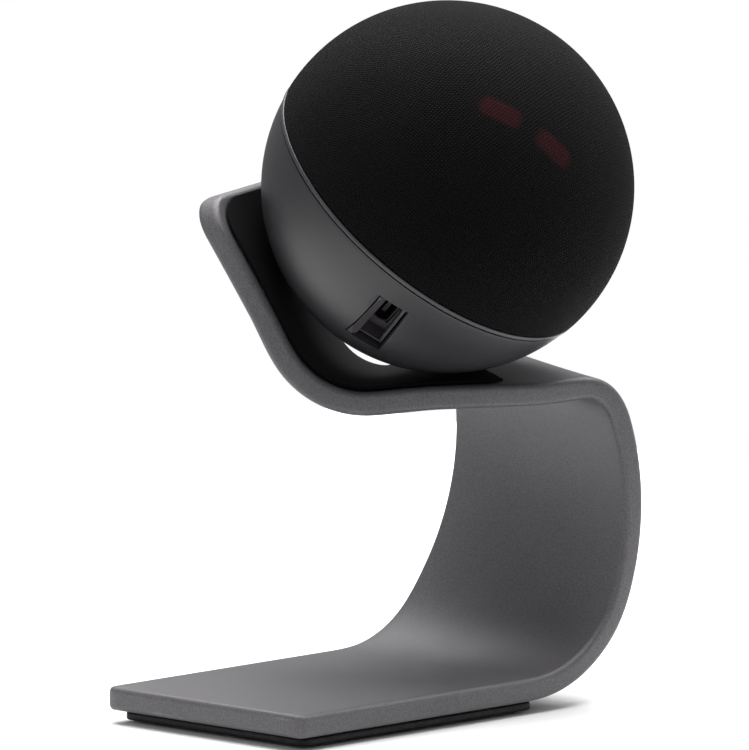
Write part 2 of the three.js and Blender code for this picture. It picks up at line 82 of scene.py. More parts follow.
def joinLoops(bm, loops, closed=False):
    pairs = list(zip(loops, loops[1:]))
    if closed:
        pairs.append((loops[-1], loops[0]))
    for lower, upper in pairs:
        count = len(lower)
        for i in range(count):
            j = (i + 1) % count
            bm.faces.new((lower[i], lower[j], upper[j], upper[i]))


def latheMesh(profile, segments):
    # profile of (radius, height); a radius of 0 at either end closes on a pole
    bm = bmesh.new()
    rings = []
    for radius, height in profile:
        if radius < 1e-7:
            rings.append([bm.verts.new((0, 0, height))])
            continue
        ring = []
        for k in range(segments):
            a = 2 * math.pi * k / segments
            ring.append(bm.verts.new((radius * math.cos(a), radius * math.sin(a), height)))
        rings.append(ring)
    for lower, upper in zip(rings, rings[1:]):
        if len(lower) == 1 or len(upper) == 1:
            tip, ring = (lower[0], upper) if len(lower) == 1 else (upper[0], lower)
            for k in range(segments):
                bm.faces.new((tip, ring[k], ring[(k + 1) % segments]))
        else:
            joinLoops(bm, [lower, upper])
    return bm


def arcPoints(radius, startDegrees, endDegrees, steps):
    # points on a circle about the ball's middle, angles from the front pole
    points = []
    for k in range(steps + 1):
        a = math.radians(startDegrees + (endDegrees - startDegrees) * k / steps)
        across = max(0.0, radius * math.sin(a)) if abs(math.sin(a)) > 1e-9 else 0.0
        points.append((across, radius * math.cos(a)))
    return points


def polarAt(radius, height):
    return math.degrees(math.acos(height / radius))


def applied(obj):
    # turns the evaluated object into a plain mesh and drops its modifiers
    depsgraph = bpy.context.evaluated_depsgraph_get()
    mesh = bpy.data.meshes.new_from_object(obj.evaluated_get(depsgraph))
    mesh.name = obj.name
    obj.modifiers.clear()
    obj.data = mesh
    return obj


# shader node groups

def newGroup(name, inputs, outputs):
    group = bpy.data.node_groups.new(name, "ShaderNodeTree")
    for label, kind, value in inputs:
        socket = group.interface.new_socket(name=label, in_out="INPUT", socket_type=kind)
        if value is not None:
            socket.default_value = value
    for label, kind in outputs:
        group.interface.new_socket(name=label, in_out="OUTPUT", socket_type=kind)
    nodes = group.nodes
    return group, nodes.new("NodeGroupInput"), nodes.new("NodeGroupOutput")


def mathNode(tree, operation, a, b=None, clamp=False):
    node = tree.nodes.new("ShaderNodeMath")
    node.operation = operation
    node.use_clamp = clamp
    for index, value in enumerate((a, b)):
        if value is None:
            continue
        if isinstance(value, (int, float)):
            node.inputs[index].default_value = value
        else:
            tree.links.new(value, node.inputs[index])
    return node.outputs[0]


def noiseNode(tree, vector, scale, detail=4, roughness=0.55):
    node = tree.nodes.new("ShaderNodeTexNoise")
    tree.links.new(vector, node.inputs["Vector"])
    if isinstance(scale, (int, float)):
        node.inputs["Scale"].default_value = scale
    else:
        tree.links.new(scale, node.inputs["Scale"])
    node.inputs["Detail"].default_value = detail
    node.inputs["Roughness"].default_value = roughness
    return node.outputs["Fac"]


def rangeNode(tree, value, low, high, toLow=0.0, toHigh=1.0):
    node = tree.nodes.new("ShaderNodeMapRange")
    tree.links.new(value, node.inputs["Value"])
    node.inputs["From Min"].default_value = low
    node.inputs["From Max"].default_value = high
    node.inputs["To Min"].default_value = toLow
    node.inputs["To Max"].default_value = toHigh
    return node.outputs["Result"]


def mixColours(tree, factor, first, second):
    node = tree.nodes.new("ShaderNodeMix")
    node.data_type = "RGBA"
    for socket, value in ((node.inputs[0], factor), (node.inputs[6], first), (node.inputs[7], second)):
        if isinstance(value, (int, float)):
            socket.default_value = value
        elif isinstance(value, tuple):
            socket.default_value = (*value, 1)
        else:
            tree.links.new(value, socket)
    return node.outputs[2]


def buildGrainGroup():
    # fine speckle over slow clouding: one colour, one roughness and one height
    group, entry, leave = newGroup(
        "surfaceGrain",
        [
            ("Vector", "NodeSocketVector", None),
            ("Dark", "NodeSocketColor", (0.1, 0.1, 0.1, 1)),
            ("Light", "NodeSocketColor", (0.3, 0.3, 0.3, 1)),
            ("Grain Scale", "NodeSocketFloat", 3000.0),
            ("Cloud Scale", "NodeSocketFloat", 60.0),
            ("Roughness", "NodeSocketFloat", 0.5),
            ("Roughness Spread", "NodeSocketFloat", 0.12),
        ],
        [("Color", "NodeSocketColor"), ("Roughness", "NodeSocketFloat"), ("Height", "NodeSocketFloat")],
    )
    speckle = noiseNode(group, entry.outputs["Vector"], entry.outputs["Grain Scale"], 3, 0.6)
    cloud = noiseNode(group, entry.outputs["Vector"], entry.outputs["Cloud Scale"], 3, 0.5)
    sharp = rangeNode(group, speckle, 0.35, 0.65)
    fine = mathNode(group, "MULTIPLY", sharp, 0.7)
    coarse = mathNode(group, "MULTIPLY", cloud, 0.3)
    blend = mathNode(group, "ADD", fine, coarse)
    colour = mixColours(group, blend, entry.outputs["Dark"], entry.outputs["Light"])
    offset = mathNode(group, "SUBTRACT", blend, 0.5)
    spread = mathNode(group, "MULTIPLY", offset, entry.outputs["Roughness Spread"])
    rough = mathNode(group, "ADD", entry.outputs["Roughness"], spread)
    group.links.new(colour, leave.inputs["Color"])
    group.links.new(rough, leave.inputs["Roughness"])
    group.links.new(sharp, leave.inputs["Height"])
    return group


def buildWearAndHighlightGroup():
    # a mask that is light along raised edges, broken up so that it isn't an even line; it paints highlight
    # and wear onto the edges
    group, entry, leave = newGroup(
        "edgeWearAndHighlight",
        [("Vector", "NodeSocketVector", None), ("Breakup Scale", "NodeSocketFloat", 400.0)],
        [("Mask", "NodeSocketFloat")],
    )
    geometry = group.nodes.new("ShaderNodeNewGeometry")
    edge = rangeNode(group, geometry.outputs["Pointiness"], 0.51, 0.58)
    breakup = noiseNode(group, entry.outputs["Vector"], entry.outputs["Breakup Scale"], 4)
    broken = rangeNode(group, breakup, 0.35, 0.7)
    mask = mathNode(group, "MULTIPLY", edge, broken, clamp=True)
    group.links.new(mask, leave.inputs["Mask"])
    return group


def buildKnitGroup():
    # columns of V-shaped loops; U counts columns and V counts rows
    group, entry, leave = newGroup(
        "knitLoops",
        [
            ("Vector", "NodeSocketVector", None),
            ("Columns", "NodeSocketFloat", 1700.0),
            ("Rows", "NodeSocketFloat", 1900.0),
            ("Wander", "NodeSocketFloat", 0.5),
        ],
        [("Height", "NodeSocketFloat"), ("Yarn", "NodeSocketFloat")],
    )
    split = group.nodes.new("ShaderNodeSeparateXYZ")
    group.links.new(entry.outputs["Vector"], split.inputs[0])
    slow = mathNode(group, "SUBTRACT", noiseNode(group, entry.outputs["Vector"], 260.0, 3), 0.5)
    drift = mathNode(group, "MULTIPLY", slow, entry.outputs["Wander"])
    columns = mathNode(group, "MULTIPLY", split.outputs["X"], entry.outputs["Columns"])
    rows = mathNode(group, "MULTIPLY", split.outputs["Y"], entry.outputs["Rows"])
    across = mathNode(group, "ADD", columns, drift)
    along = mathNode(group, "ADD", rows, drift)
    inColumn = mathNode(group, "FRACT", across)
    fromMiddle = mathNode(group, "ABSOLUTE", mathNode(group, "SUBTRACT", inColumn, 0.5))
    lifted = mathNode(group, "ADD", along, mathNode(group, "MULTIPLY", fromMiddle, 1.2))
    loop = mathNode(group, "SINE", mathNode(group, "MULTIPLY", lifted, 2 * math.pi))
    loop = rangeNode(group, loop, -1.0, 1.0)
    column = mathNode(group, "SINE", mathNode(group, "MULTIPLY", inColumn, math.pi))
    fuzz = noiseNode(group, entry.outputs["Vector"], 5200.0, 2, 0.7)
    rounded = mathNode(group, "ADD", mathNode(group, "MULTIPLY", column, 0.6), 0.4)
    body = mathNode(group, "MULTIPLY", loop, rounded)
    thread = mathNode(group, "MULTIPLY", body, 0.75)
    height = mathNode(group, "ADD", thread, mathNode(group, "MULTIPLY", fuzz, 0.5))
    yarn = rangeNode(group, height, 0.35, 0.95)
    group.links.new(height, leave.inputs["Height"])
    group.links.new(yarn, leave.inputs["Yarn"])
    return group


grainGroup = buildGrainGroup()
wearAndHighlightGroup = buildWearAndHighlightGroup()
knitGroup = buildKnitGroup()
print("shader groups built")


# materials

def startMaterial(name):
    material = bpy.data.materials.new(name)
    material.use_nodes = True
    tree = material.node_tree
    shader = tree.nodes["Principled BSDF"]
    place = tree.nodes.new("ShaderNodeTexCoord")
    return material, tree, shader, place


def placeGroup(tree, group, vector, values):
    node = tree.nodes.new("ShaderNodeGroup")
    node.node_tree = group
    tree.links.new(vector, node.inputs["Vector"])
    for label, value in values.items():
        node.inputs[label].default_value = (*value, 1) if isinstance(value, tuple) else value
    return node


def addBump(tree, shader, height, strength, distance):
    bump = tree.nodes.new("ShaderNodeBump")
    bump.inputs["Strength"].default_value = strength
    bump.inputs["Distance"].default_value = distance
    tree.links.new(height, bump.inputs["Height"])
    tree.links.new(bump.outputs["Normal"], shader.inputs["Normal"])


def grainMaterial(name, look):
    material, tree, shader, place = startMaterial(name)
    vector = place.outputs["Object"]
    grain = placeGroup(
        tree,
        grainGroup,
        vector,
        {
            "Dark": look["dark"],
            "Light": look["light"],
            "Grain Scale": look["grain"],
            "Cloud Scale": look["cloud"],
            "Roughness": look["rough"],
            "Roughness Spread": look["spread"],
        },
    )
    colour = grain.outputs["Color"]
    # raised edges lightened: a painted highlight on the rounded edges, with some wear
    if look.get("wearAndHighlight"):
        wearAndHighlight = placeGroup(tree, wearAndHighlightGroup, vector, {"Breakup Scale": 500.0})
        amount = mathNode(tree, "MULTIPLY", wearAndHighlight.outputs["Mask"], 0.6)
        colour = mixColours(tree, amount, colour, look["wearAndHighlight"])
    tree.links.new(colour, shader.inputs["Base Color"])
    tree.links.new(grain.outputs["Roughness"], shader.inputs["Roughness"])
    shader.inputs["Metallic"].default_value = look["metal"]
    shader.inputs["Specular IOR Level"].default_value = look.get("specular", 0.5)
    addBump(tree, shader, grain.outputs["Height"], look["bump"], 0.00005)
    return material


# grain and cloud are noise scales, spread is how far the roughness varies, and the edges' colour is a
# painted highlight with wear along raised edges
looks = {
    "strap": dict(
        # the edge colour is a painted highlight on the strap's rounded edges
        dark=(0.06, 0.057, 0.062), light=(0.134, 0.128, 0.136), wearAndHighlight=(0.2, 0.2, 0.21),
        grain=3600.0, cloud=70.0, rough=0.5, spread=0.14, metal=0.25, bump=0.3, specular=0.4,
    ),
    "pad": dict(
        dark=(0.0015, 0.0015, 0.0015), light=(0.005, 0.0048, 0.005),
        grain=1600.0, cloud=120.0, rough=0.5, spread=0.3, metal=0.0, bump=0.8, specular=0.25,
    ),
    # near-black sheet: painted shade where the ball shades the crook
    "liner": dict(
        dark=(0.001, 0.001, 0.001), light=(0.004, 0.0035, 0.004),
        grain=2600.0, cloud=90.0, rough=0.9, spread=0.1, metal=0.0, bump=0.5, specular=0.1,
    ),
    "shell": dict(
        dark=(0.0085, 0.0077, 0.0092), light=(0.0145, 0.0132, 0.0156),
        grain=2600.0, cloud=50.0, rough=0.48, spread=0.1, metal=0.0, bump=0.12, specular=0.55,
    ),
    # lighter than the shell: painted light on the niche's ramp, which faces down away from the lamps
    "niche": dict(
        dark=(0.03, 0.027, 0.031), light=(0.05, 0.045, 0.052),
        grain=2600.0, cloud=80.0, rough=0.5, spread=0.1, metal=0.0, bump=0.12,
    ),
    "lip": dict(
        dark=(0.02, 0.021, 0.024), light=(0.035, 0.037, 0.042),
        grain=3000.0, cloud=80.0, rough=0.38, spread=0.1, metal=0.0, bump=0.1,
    ),
    "steel": dict(
        # the edge colour is painted highlight and wear
        dark=(0.35, 0.35, 0.36), light=(0.55, 0.55, 0.56), wearAndHighlight=(0.75, 0.75, 0.76),
        grain=2400.0, cloud=200.0, rough=0.32, spread=0.15, metal=1.0, bump=0.2,
    ),
    "blacked": dict(
        dark=(0.008, 0.008, 0.009), light=(0.02, 0.02, 0.022),
        grain=2400.0, cloud=200.0, rough=0.45, spread=0.15, metal=0.6, bump=0.2,
    ),
    "dome": dict(
        dark=(0.03, 0.03, 0.032), light=(0.06, 0.06, 0.064),
        grain=1500.0, cloud=150.0, rough=0.45, spread=0.15, metal=0.8, bump=0.6,
    ),
    "chassis": dict(
        dark=(0.015, 0.015, 0.017), light=(0.03, 0.03, 0.033),
        grain=2200.0, cloud=90.0, rough=0.55, spread=0.15, metal=0.0, bump=0.3,
    ),
    "board": dict(
        dark=(0.01, 0.09, 0.045), light=(0.02, 0.16, 0.08),
        grain=900.0, cloud=300.0, rough=0.4, spread=0.2, metal=0.0, bump=0.3,
    ),
    "chip": dict(
        dark=(0.01, 0.01, 0.011), light=(0.022, 0.022, 0.024),
        grain=4000.0, cloud=200.0, rough=0.5, spread=0.15, metal=0.0, bump=0.3,
    ),
    "light": dict(
        dark=(0.25, 0.01, 0.015), light=(0.5, 0.03, 0.04),
        grain=1200.0, cloud=300.0, rough=0.25, spread=0.15, metal=0.0, bump=0.1,
    ),
    "rubber": dict(
        dark=(0.012, 0.012, 0.013), light=(0.025, 0.024, 0.026),
        grain=1800.0, cloud=100.0, rough=0.75, spread=0.15, metal=0.0, bump=0.5,
    ),
    "brass": dict(
        dark=(0.42, 0.29, 0.11), light=(0.65, 0.47, 0.2),
        grain=2600.0, cloud=160.0, rough=0.3, spread=0.2, metal=1.0, bump=0.2,
    ),
    "membrane": dict(
        dark=(0.7, 0.5, 0.2), light=(0.85, 0.65, 0.3),
        grain=5000.0, cloud=400.0, rough=0.15, spread=0.1, metal=1.0, bump=0.1,
    ),
}
finishes = {name: grainMaterial(name + "Finish", look) for name, look in looks.items()}

knitLook = {
    "columns": 1650.0,
    "rows": 2100.0,
    "dark": (0.0007, 0.0005, 0.0007),
    "light": (0.008, 0.0062, 0.0078),
    # painted red glow for the lamps behind the knit
    "glow": (0.03, 0.0035, 0.005),
    "glowReach": 0.0197,
    "glowSide": 0.0062,
    "glowHalfLength": 0.0042,
    "glowHalfWidth": 0.0019,
    "slant": 24,
    "wander": 0.8,
    "specular": 0.08,
    "sheen": 0.006,
    "bump": 0.9,
}


def knitMaterial(look):
    material, tree, shader, place = startMaterial("knitFinish")
    turned = tree.nodes.new("ShaderNodeMapping")
    turned.inputs["Rotation"].default_value = (0, 0, math.radians(look["slant"]))
    tree.links.new(place.outputs["UV"], turned.inputs["Vector"])
    loops = {"Columns": look["columns"], "Rows": look["rows"], "Wander": look["wander"]}
    knit = placeGroup(tree, knitGroup, turned.outputs["Vector"], loops)
    patches = rangeNode(tree, noiseNode(tree, place.outputs["Object"], 90.0, 4), 0.3, 0.75, 0.45, 1.0)
    yarn = mathNode(tree, "MULTIPLY", knit.outputs["Yarn"], patches)
    colour = mixColours(tree, yarn, look["dark"], look["light"])
    # a faint red glow painted into the base colour between the loops, for two lamps shining through
    split = tree.nodes.new("ShaderNodeSeparateXYZ")
    tree.links.new(place.outputs["UV"], split.inputs[0])
    sideways = mathNode(tree, "ABSOLUTE", split.outputs["X"])
    fromMiddle = mathNode(tree, "SUBTRACT", sideways, look["glowSide"])
    along = mathNode(tree, "DIVIDE", fromMiddle, look["glowHalfLength"])
    fromLine = mathNode(tree, "ADD", split.outputs["Y"], look["glowReach"])
    across = mathNode(tree, "DIVIDE", fromLine, look["glowHalfWidth"])
    endFall = mathNode(tree, "POWER", mathNode(tree, "ABSOLUTE", along), 4.0)
    sideFall = mathNode(tree, "POWER", mathNode(tree, "ABSOLUTE", across), 4.0)
    spot = rangeNode(tree, mathNode(tree, "ADD", endFall, sideFall), 1.5, 0.3)
    between = rangeNode(tree, knit.outputs["Yarn"], 0.75, 0.15, 0.15, 1.0)
    shine = mathNode(tree, "MULTIPLY", spot, between, clamp=True)
    colour = mixColours(tree, shine, colour, look["glow"])
    tree.links.new(colour, shader.inputs["Base Color"])
    tree.links.new(rangeNode(tree, knit.outputs["Yarn"], 0.0, 1.0, 0.95, 0.7), shader.inputs["Roughness"])
    shader.inputs["Specular IOR Level"].default_value = look["specular"]
    shader.inputs["Sheen Weight"].default_value = look["sheen"]
    shader.inputs["Sheen Roughness"].default_value = 0.4
    addBump(tree, shader, knit.outputs["Height"], look["bump"], 0.0002)
    return material


finishes["knit"] = knitMaterial(knitLook)
print("materials built:", len(finishes))


# strap: one plate walked along its bends, with a rounded section drawn in at the ends

strap = {
    "width": 0.0485,
    "thickness": 0.0042,
    "edgeRadius": 0.0011,
    "footCorner": 0.002,
    "restCorner": 0.007,
    "strips": 20,
    "easing": 0.0044,  # how far each bend eases into its neighbours
    "run": [  # name, length, bend, twist, turn, steps
        ("foot", 0.0552, 0, 0, 0, 4),
        ("instep", 0.0044, 0, 0, 0, 6),
        ("heel", 0.025, 57.2, 0, 0, 24),
        ("back", 0.0386, 48.6, -11.5, 0, 30),
        ("shoulder", 0.0102, 85.7, -10.8, 0, 30),
        ("shelf", 0.0184, 4.7, 17.3, 27.3, 28),
        ("crook", 0.0245, -94.5, -6.2, 8.5, 40),
        ("rest", 0.0262, 3.7, -19.8, 0, 28),
    ],
}


def ratesAt(distance, spec):
    # bend, twist and turn for each metre, averaged over the easing length to both sides
    rates = Vector((0, 0, 0))
    start, reach = 0.0, spec["easing"]
    for _, length, bend, twist, turn, _ in spec["run"]:
        shared = max(0.0, min(start + length, distance + reach) - max(start, distance - reach))
        rates += Vector((bend, twist, turn)) * (shared / (2 * reach) / length)
        start += length
    return rates


def walkStrap(spec):
    point = strapStart + Vector((0, 0, spec["thickness"] / 2))
    along, normal = Vector((1, 0, 0)), Vector((0, 0, 1))
    stations = [(0.0, point.copy(), along.cross(normal) * -1, normal.copy())]
    walked = 0.0
    for _, length, _, _, _, steps in spec["run"]:
        for _ in range(steps):
            bend, twist, turn = (math.radians(v) for v in ratesAt(walked + length / steps / 2, spec))
            spin = normal.cross(along) * -bend + along * twist + normal * turn
            spin *= length / steps
            angle = spin.length
            half = Matrix.Rotation(angle / 2, 3, spin) if angle > 1e-9 else Matrix.Identity(3)
            whole = Matrix.Rotation(angle, 3, spin) if angle > 1e-9 else Matrix.Identity(3)
            point = point + (half @ along) * (length / steps)
            along, normal = whole @ along, whole @ normal
            walked += length / steps
            stations.append((walked, point.copy(), normal.cross(along), normal.copy()))
    return stations


strapStations = walkStrap(strap)
strapLength = strapStations[-1][0]


def stationAt(distance):
    for before, after in zip(strapStations, strapStations[1:]):
        if after[0] >= distance - 1e-9:
            share = (distance - before[0]) / (after[0] - before[0])
            return (
                distance,
                before[1].lerp(after[1], share),
                before[2].lerp(after[2], share).normalized(),
                before[3].lerp(after[3], share).normalized(),
            )
    return strapStations[-1]


def cornerInset(distance, radius):
    # how far a round corner has drawn in the side at this distance from the end
    inside = max(0.0, radius - distance)
    return radius - math.sqrt(max(0.0, radius * radius - inside * inside))


def sectionLoop(width, thickness, radius, strips, middle=0.0):
    radius = max(1e-5, min(radius, thickness / 2 - 1e-6))
    right, top = width / 2 - radius, thickness / 2 - radius
    points = []
    for i in range(strips):
        points.append((-right + 2 * right * i / strips, middle - thickness / 2))
    for k in range(7):
        a = -math.pi / 2 + math.pi / 2 * k / 6
        points.append((right + radius * math.cos(a), middle - top + radius * math.sin(a)))
    for k in range(7):
        a = math.pi / 2 * k / 6
        points.append((right + radius * math.cos(a), middle + top + radius * math.sin(a)))
    for i in range(1, strips):
        points.append((right - 2 * right * i / strips, middle + thickness / 2))
    for k in range(7):
        a = math.pi / 2 + math.pi / 2 * k / 6
        points.append((-right + radius * math.cos(a), middle + top + radius * math.sin(a)))
    for k in range(6):
        a = math.pi + math.pi / 2 * k / 6
        points.append((-right + radius * math.cos(a), middle - top + radius * math.sin(a)))
    return points


def sweepPlate(name, start, end, width, thickness, edge, startCorner, endCorner, strips, middle, material):
    stops = {start, end}
    stops.update(s[0] for s in strapStations if start < s[0] < end)
    for k in range(1, 13):
        share = 1 - math.cos(math.pi / 2 * k / 12)
        stops.update((start + share * startCorner, end - share * endCorner))
        stops.update((start + share * edge, end - share * edge))
    ordered = []
    for stop in sorted(stops):
        if not ordered or stop - ordered[-1] > 2e-6 or stop == end:
            ordered.append(stop)
    bm = bmesh.new()
    loops = []
    for stop in ordered:
        _, point, across, normal = stationAt(stop)
        plan = cornerInset(stop - start, startCorner) + cornerInset(end - stop, endCorner)
        drawn = cornerInset(stop - start, edge) + cornerInset(end - stop, edge)
        loop = sectionLoop(width - 2 * plan - 2 * drawn, thickness - 2 * drawn, edge - drawn, strips, middle)
        loops.append([bm.verts.new(point + across * x + normal * y) for x, y in loop])
    joinLoops(bm, loops)
    bm.faces.new(list(reversed(loops[0])))
    bm.faces.new(loops[-1])
    return makeObject(name, bm, material, 50)


strapPlate = sweepPlate(
    "strap_plate", 0.0, strapLength, strap["width"], strap["thickness"], strap["edgeRadius"],
    strap["footCorner"], strap["restCorner"], strap["strips"], 0.0, finishes["strap"],
)
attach(strapPlate, "stand")
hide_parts("stand_strap")
print("strap swept:", len(strapPlate.data.polygons), "faces")


# crook sheet: one thin napped near-black sheet on the side of shelf and rest where the ball lies, as painted
# shade for the ball's shadow in the crook

shadeLining = {
    "thickness": 0.0005,
    "gap": 0.0003,
    "inset": 0.0009,
    "sideMargin": 0.001,  # left free beside the strap's round edge
    "edgeShare": 0.3,  # of the thickness, rounded off
    "startCorner": 0.001,
    "shelfShare": 0.35,
    "strips": 24,
}
runLengths = {name: length for name, length, *_ in strap["run"]}
shelfStart = strapLength - runLengths["rest"] - runLengths["crook"] - runLengths["shelf"]
shadeLiningStart = shelfStart + runLengths["shelf"] * shadeLining["shelfShare"]
shadeLiningEnd = strapLength - shadeLining["inset"]
shadeLiningWidth = strap["width"] - 2 * shadeLining["inset"] - 2 * shadeLining["sideMargin"]
shadeLinerSheet = sweepPlate(
    "crook_liner_painted_shade", shadeLiningStart, shadeLiningEnd, shadeLiningWidth, shadeLining["thickness"],
    shadeLining["thickness"] * shadeLining["edgeShare"], shadeLining["startCorner"], strap["restCorner"], shadeLining["strips"],
    -(strap["thickness"] / 2 + shadeLining["gap"] + shadeLining["thickness"] / 2), finishes["liner"],
)
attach(shadeLinerSheet, "stand")
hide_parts("cradle_liner")
print("liner laid")


# foot pad with rows of small studs underneath, placed by Geometry Nodes

pad = {
    "corner": 0.002,
    "edge": 0.0004,
    "studHeight": 0.0003,
    "studRoot": 0.0001,  # how far a stud reaches into the pad
    "studRadius": 0.0011,
    "studPitch": 0.0042,
    "studSides": 14,
    "studTaper": 0.7,
}


def roundedOutline(low, high, radius, steps):
    points = []
    corners = ((high.x, low.y, -90), (high.x, high.y, 0), (low.x, high.y, 90), (low.x, low.y, 180))
    for x, y, first in corners:
        cx = x - radius if x > low.x else x + radius
        cy = y - radius if y > low.y else y + radius
        for k in range(steps + 1):
            a = math.radians(first + 90 * k / steps)
            points.append((cx + radius * math.cos(a), cy + radius * math.sin(a)))
    return points


def padMesh(spec):
    bm = bmesh.new()
    bottom, top = padLow.z + spec["studHeight"], padHigh.z
    edge = spec["edge"]
    soft = edge * 0.3
    levels = [(edge, bottom), (soft, bottom + soft), (0, bottom + edge)]
    levels += [(0, top - edge), (soft, top - soft), (edge, top)]
    loops = []
    for inset, height in levels:
        low, high = padLow + Vector((inset, inset, 0)), padHigh - Vector((inset, inset, 0))
        outline = roundedOutline(low, high, spec["corner"] - inset, 8)
        loops.append([bm.verts.new((x, y, height)) for x, y in outline])
    joinLoops(bm, loops)
    bm.faces.new(list(reversed(loops[0])))
    bm.faces.new(loops[-1])
    return bm


def startTree(name, inputs):
    # a Geometry Nodes tree with these named inputs beside its geometry and its finish
    tree = bpy.data.node_groups.new(name, "GeometryNodeTree")
    for label, kind in (("Geometry", "Geometry"), *inputs, ("Finish", "Material")):
        tree.interface.new_socket(name=label, in_out="INPUT", socket_type="NodeSocket" + kind)
    tree.interface.new_socket(name="Geometry", in_out="OUTPUT", socket_type="NodeSocketGeometry")
    return tree, tree.nodes.new("NodeGroupInput")


def endTree(tree, entry, geometry):
    # makes the instances real and puts the finish on
    real = tree.nodes.new("GeometryNodeRealizeInstances")
    coat = tree.nodes.new("GeometryNodeSetMaterial")
    leave = tree.nodes.new("NodeGroupOutput")
    tree.links.new(geometry, real.inputs["Geometry"])
    tree.links.new(real.outputs["Geometry"], coat.inputs["Geometry"])
    tree.links.new(entry.outputs["Finish"], coat.inputs["Material"])
    tree.links.new(coat.outputs["Geometry"], leave.inputs["Geometry"])


def studTree():
    tree, entry = startTree("padStuds", [
        ("Length", "Float"),
        ("Width", "Float"),
        ("Columns", "Int"),
        ("Rows", "Int"),
        ("Stud Radius", "Float"),
        ("Stud Height", "Float"),
        ("Centre", "Vector"),
    ])
    grid = tree.nodes.new("GeometryNodeMeshGrid")
    stud = tree.nodes.new("GeometryNodeMeshCone")
    stud.inputs["Vertices"].default_value = pad["studSides"]
    scatter = tree.nodes.new("GeometryNodeInstanceOnPoints")
    shift = tree.nodes.new("GeometryNodeTransform")
    join = tree.nodes.new("GeometryNodeJoinGeometry")
    narrow = tree.nodes.new("ShaderNodeMath")
    narrow.operation = "MULTIPLY"
    narrow.inputs[1].default_value = pad["studTaper"]
    link = tree.links.new
    link(entry.outputs["Length"], grid.inputs["Size X"])
    link(entry.outputs["Width"], grid.inputs["Size Y"])
    link(entry.outputs["Columns"], grid.inputs["Vertices X"])
    link(entry.outputs["Rows"], grid.inputs["Vertices Y"])
    link(entry.outputs["Stud Radius"], stud.inputs["Radius Bottom"])
    link(entry.outputs["Stud Radius"], narrow.inputs[0])
    link(narrow.outputs[0], stud.inputs["Radius Top"])
    link(entry.outputs["Stud Height"], stud.inputs["Depth"])
    link(grid.outputs["Mesh"], scatter.inputs["Points"])
    link(stud.outputs["Mesh"], scatter.inputs["Instance"])
    scatter.inputs["Rotation"].default_value = (math.pi, 0, 0)
    link(scatter.outputs["Instances"], shift.inputs["Geometry"])
    link(entry.outputs["Centre"], shift.inputs["Translation"])
    link(entry.outputs["Geometry"], join.inputs["Geometry"])
    link(shift.outputs["Geometry"], join.inputs["Geometry"])
    endTree(tree, entry, join.outputs["Geometry"])
    return tree


def runTree(obj, tree, values):
    modifier = obj.modifiers.new(tree.name, "NODES")
    modifier.node_group = tree
    for item in tree.interface.items_tree:
        if item.in_out == "INPUT" and item.name in values:
            modifier[item.identifier] = values[item.name]
    return applied(obj)


footPad = makeObject("foot_pad_rubber", padMesh(pad), finishes["pad"], 50)
padLength, padWidth = padHigh.x - padLow.x, padHigh.y - padLow.y
studTop = padLow.z + pad["studHeight"] + pad["studRoot"]
runTree(footPad, studTree(), {
    "Length": padLength - 2 * pad["studPitch"],
    "Width": padWidth - 2 * pad["studPitch"],
    "Columns": int(padLength / pad["studPitch"]) - 1,
    "Rows": int(padWidth / pad["studPitch"]) - 1,
    "Stud Radius": pad["studRadius"],
    "Stud Height": pad["studHeight"] + pad["studRoot"],
    "Centre": Vector(((padLow.x + padHigh.x) / 2, (padLow.y + padHigh.y) / 2, studTop)),
    "Finish": finishes["pad"],
})
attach(footPad, "stand")
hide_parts("foot_pad")
print("pad made:", len(footPad.data.polygons), "faces")


# ball shell with the niche cut through it

ball = {
    "radius": 0.033,
    "wall": 0.0022,
    "seam": -0.0043,
    "trimHeight": 0.0008,
    "trimWidth": 0.0032,
    "gap": 0.0003,
    "swell": 0.00015,
    "knitThickness": 0.0008,
    "segments": 160,
}
niche = {
    "polar": 121,
    "lean": 6,
    "length": 0.0155,
    "front": 0.006,
    "rear": 0.007,
    "depth": 0.0058,
    "edge": 0.0003,
    "under": 0.001,  # how far the cut reaches below the niche
    "over": 0.003,  # and above the shell
}


def shellMesh(spec):
    rim = spec["seam"] - spec["trimHeight"] - spec["gap"]
    inner = spec["radius"] - spec["wall"]
    outerArc = arcPoints(spec["radius"], 180, polarAt(spec["radius"], rim), 56)
    innerArc = arcPoints(inner, polarAt(inner, rim), 180, 28)
    return latheMesh(outerArc + innerArc, spec["segments"])


def nicheCutter(spec):
    bm = bmesh.new()
    half = spec["length"] / 2
    front, rear = spec["front"] / 2, spec["rear"] / 2
    outline = [(-front, half), (-rear, -half), (rear, -half), (front, half)]
    low, high = ball["radius"] - spec["depth"] - spec["under"], ball["radius"] + spec["over"]
    loops = [[bm.verts.new((x, y, z)) for x, y in outline] for z in (low, high)]
    joinLoops(bm, loops)
    bm.faces.new(list(reversed(loops[0])))
    bm.faces.new(loops[1])
    bmesh.ops.recalc_face_normals(bm, faces=bm.faces)
    mesh = bpy.data.meshes.new("nicheCutter")
    bm.to_mesh(mesh)
    bm.free()
    lean = Matrix.Rotation(math.radians(spec["lean"]), 4, "Z")
    mesh.transform(Matrix.Rotation(math.radians(spec["polar"]), 4, "X") @ lean)
    cutter = bpy.data.objects.new("nicheCutter", mesh)
    bpy.context.collection.objects.link(cutter)
    return cutter


